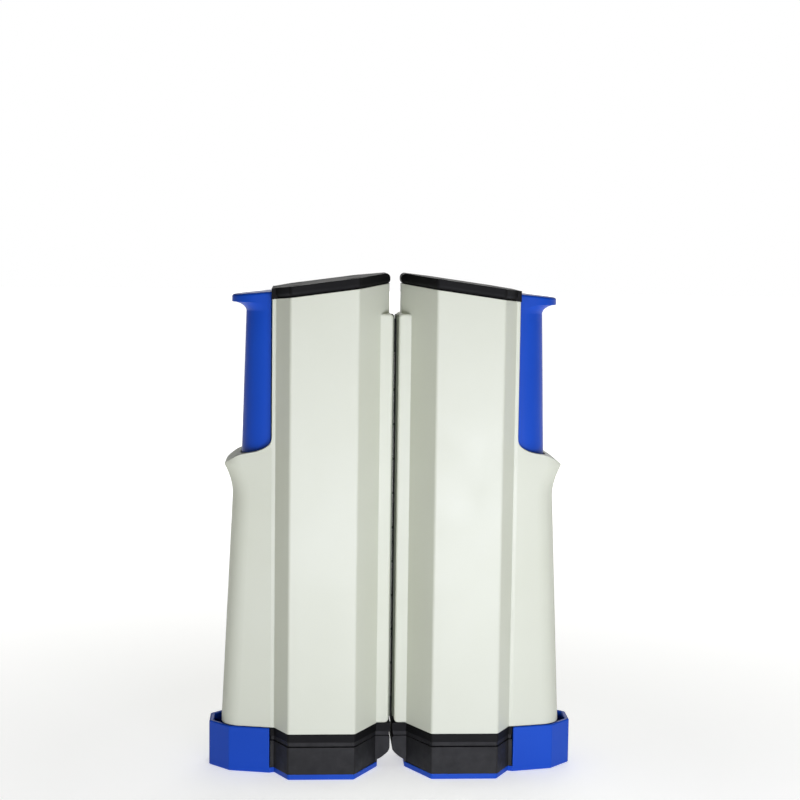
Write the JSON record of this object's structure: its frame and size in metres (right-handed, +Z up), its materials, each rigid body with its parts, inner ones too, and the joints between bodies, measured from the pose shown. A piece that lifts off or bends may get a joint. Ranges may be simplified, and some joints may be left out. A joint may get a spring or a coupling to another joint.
{
  "type": "retractable table tennis net",
  "caption": "Pocket table tennis net, closed: mirrored spring-clamp posts side by side with the net rolled up inside them.",
  "frame": {"origin": "on the floor under the middle of the closed pair, halfway between the two posts", "axes": "+Z up along the posts, +X across the pair towards the right post, -Y towards the front"},
  "size_m": [0.1308, 0.0476, 0.1778],
  "materials": {
    "housing": "pale grey moulded plastic, satin",
    "black_plastic": "black moulded plastic, satin",
    "blue_plastic": "blue moulded plastic, satin",
    "inner_plastic": "plain moulded plastic",
    "rubber": "matt moulded rubber",
    "grey_rubber": "soft foamed rubber strip",
    "dark_steel": "black oxide",
    "bright_steel": "bright zinc",
    "net_cloth": "knotted net"
  },
  "bodies": {
    "left_housing": {"left_front_shell": "housing", "left_rear_shell": "housing", "left_top_cap": "black_plastic", "left_bottom_cap": "black_plastic", "left_upper_pad": "rubber", "left_lip_seals": "grey_rubber", "left_top_screws": "dark_steel", "left_bottom_screws": "dark_steel", "left_spring_pin": "bright_steel", "left_spring_seat": "bright_steel", "left_clamp_spring": "bright_steel", "left_roller_axle": "bright_steel", "net_web": "net_cloth"},
    "left_clamp": {"left_plunger": "blue_plastic", "left_lower_jaw": "blue_plastic", "left_jaw_pad": "rubber", "left_foot_screws": "dark_steel"},
    "left_roller": {"left_roller_tube": "inner_plastic", "left_lower_bush": "inner_plastic", "left_upper_bush": "inner_plastic", "left_rewind_spring": "bright_steel", "left_net_roll": "net_cloth"},
    "right_housing": {"right_front_shell": "housing", "right_rear_shell": "housing", "right_top_cap": "black_plastic", "right_bottom_cap": "black_plastic", "right_upper_pad": "rubber", "right_lip_seals": "grey_rubber", "right_top_screws": "dark_steel", "right_bottom_screws": "dark_steel", "right_spring_pin": "bright_steel", "right_spring_seat": "bright_steel", "right_clamp_spring": "bright_steel", "right_roller_axle": "bright_steel"},
    "right_clamp": {"right_plunger": "blue_plastic", "right_lower_jaw": "blue_plastic", "right_jaw_pad": "rubber", "right_foot_screws": "dark_steel"},
    "right_roller": {"right_roller_tube": "inner_plastic", "right_lower_bush": "inner_plastic", "right_upper_bush": "inner_plastic", "right_rewind_spring": "bright_steel", "right_net_roll": "net_cloth"}
  },
  "joints": [
    {"name": "left_clamp_slide", "type": "slide", "parent": "left_housing", "child": "left_clamp", "axis": [0, 0, -1], "range_m": [0, 0.05], "stiffness_N_per_m": 200, "springref_m": -0.03, "deforming": ["left_clamp_spring"]},
    {"name": "net_pullout", "type": "slide", "parent": "left_housing", "child": "right_housing", "axis": [1, 0, 0], "range_m": [0, 1.7], "stiffness_N_per_m": 1.5, "springref_m": -1.5, "deforming": ["net_web"]},
    {"name": "right_clamp_slide", "type": "slide", "parent": "right_housing", "child": "right_clamp", "axis": [0, 0, -1], "range_m": [0, 0.05], "stiffness_N_per_m": 200, "springref_m": -0.03, "deforming": ["right_clamp_spring"]},
    {"name": "left_roller_turn", "type": "hinge", "parent": "left_housing", "child": "left_roller", "pos_m": [-0.0252, 0, 0.09], "axis": [0, 0, 1], "range_deg": [-4680, 0]},
    {"name": "right_roller_turn", "type": "hinge", "parent": "right_housing", "child": "right_roller", "pos_m": [0.0252, 0, 0.09], "axis": [0, 0, 1], "range_deg": [0, 4680]}
  ],
  "couplings": [
    {"joint": "left_roller_turn", "follows": "net_pullout", "rad_per_m": -48},
    {"joint": "right_roller_turn", "follows": "net_pullout", "rad_per_m": 48}
  ]
}
